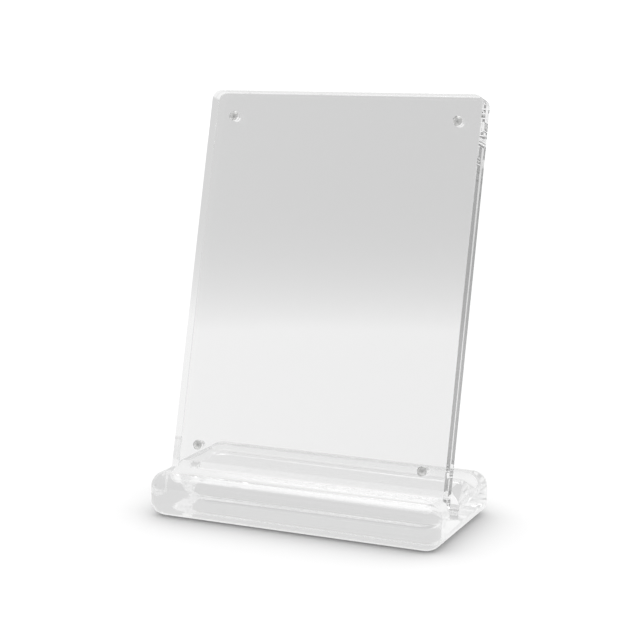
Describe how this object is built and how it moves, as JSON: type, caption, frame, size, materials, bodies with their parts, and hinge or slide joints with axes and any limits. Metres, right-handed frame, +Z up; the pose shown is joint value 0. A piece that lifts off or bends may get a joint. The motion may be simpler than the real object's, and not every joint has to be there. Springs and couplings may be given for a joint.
{
  "type": "photo album stand",
  "caption": "Clear acrylic photo stand: two sheets held together by corner magnets lean back in the slot of a rounded clear base block.",
  "frame": {"origin": "middle of the base block's underside", "axes": "+Z up, +X to the viewer's right, +Y from the front to the back; the sheets lean towards +Y"},
  "size_m": [0.1616, 0.0839, 0.2183],
  "materials": {
    "base_acrylic": "clear, polished all over",
    "sheet_acrylic": "clear, polished faces and edges",
    "magnet_nickel": "bright nickel plate"
  },
  "bodies": {
    "base": {"base_block": "base_acrylic"},
    "rear_sheet": {"rear_plate": "sheet_acrylic", "rear_magnet_top_left": "magnet_nickel", "rear_magnet_top_right": "magnet_nickel", "rear_magnet_bottom_left": "magnet_nickel", "rear_magnet_bottom_right": "magnet_nickel"},
    "front_sheet": {"front_plate": "sheet_acrylic", "front_magnet_top_left": "magnet_nickel", "front_magnet_top_right": "magnet_nickel", "front_magnet_bottom_left": "magnet_nickel", "front_magnet_bottom_right": "magnet_nickel"}
  },
  "joints": [
    {"name": "frame_lift", "type": "slide", "parent": "base", "child": "rear_sheet", "axis": [0, 0.2554, 0.9668], "range_m": [0, 0.04]},
    {"name": "front_sheet_slide", "type": "slide", "parent": "rear_sheet", "child": "front_sheet", "axis": [0, 0.2554, 0.9668], "range_m": [0, 0.217]}
  ]
}
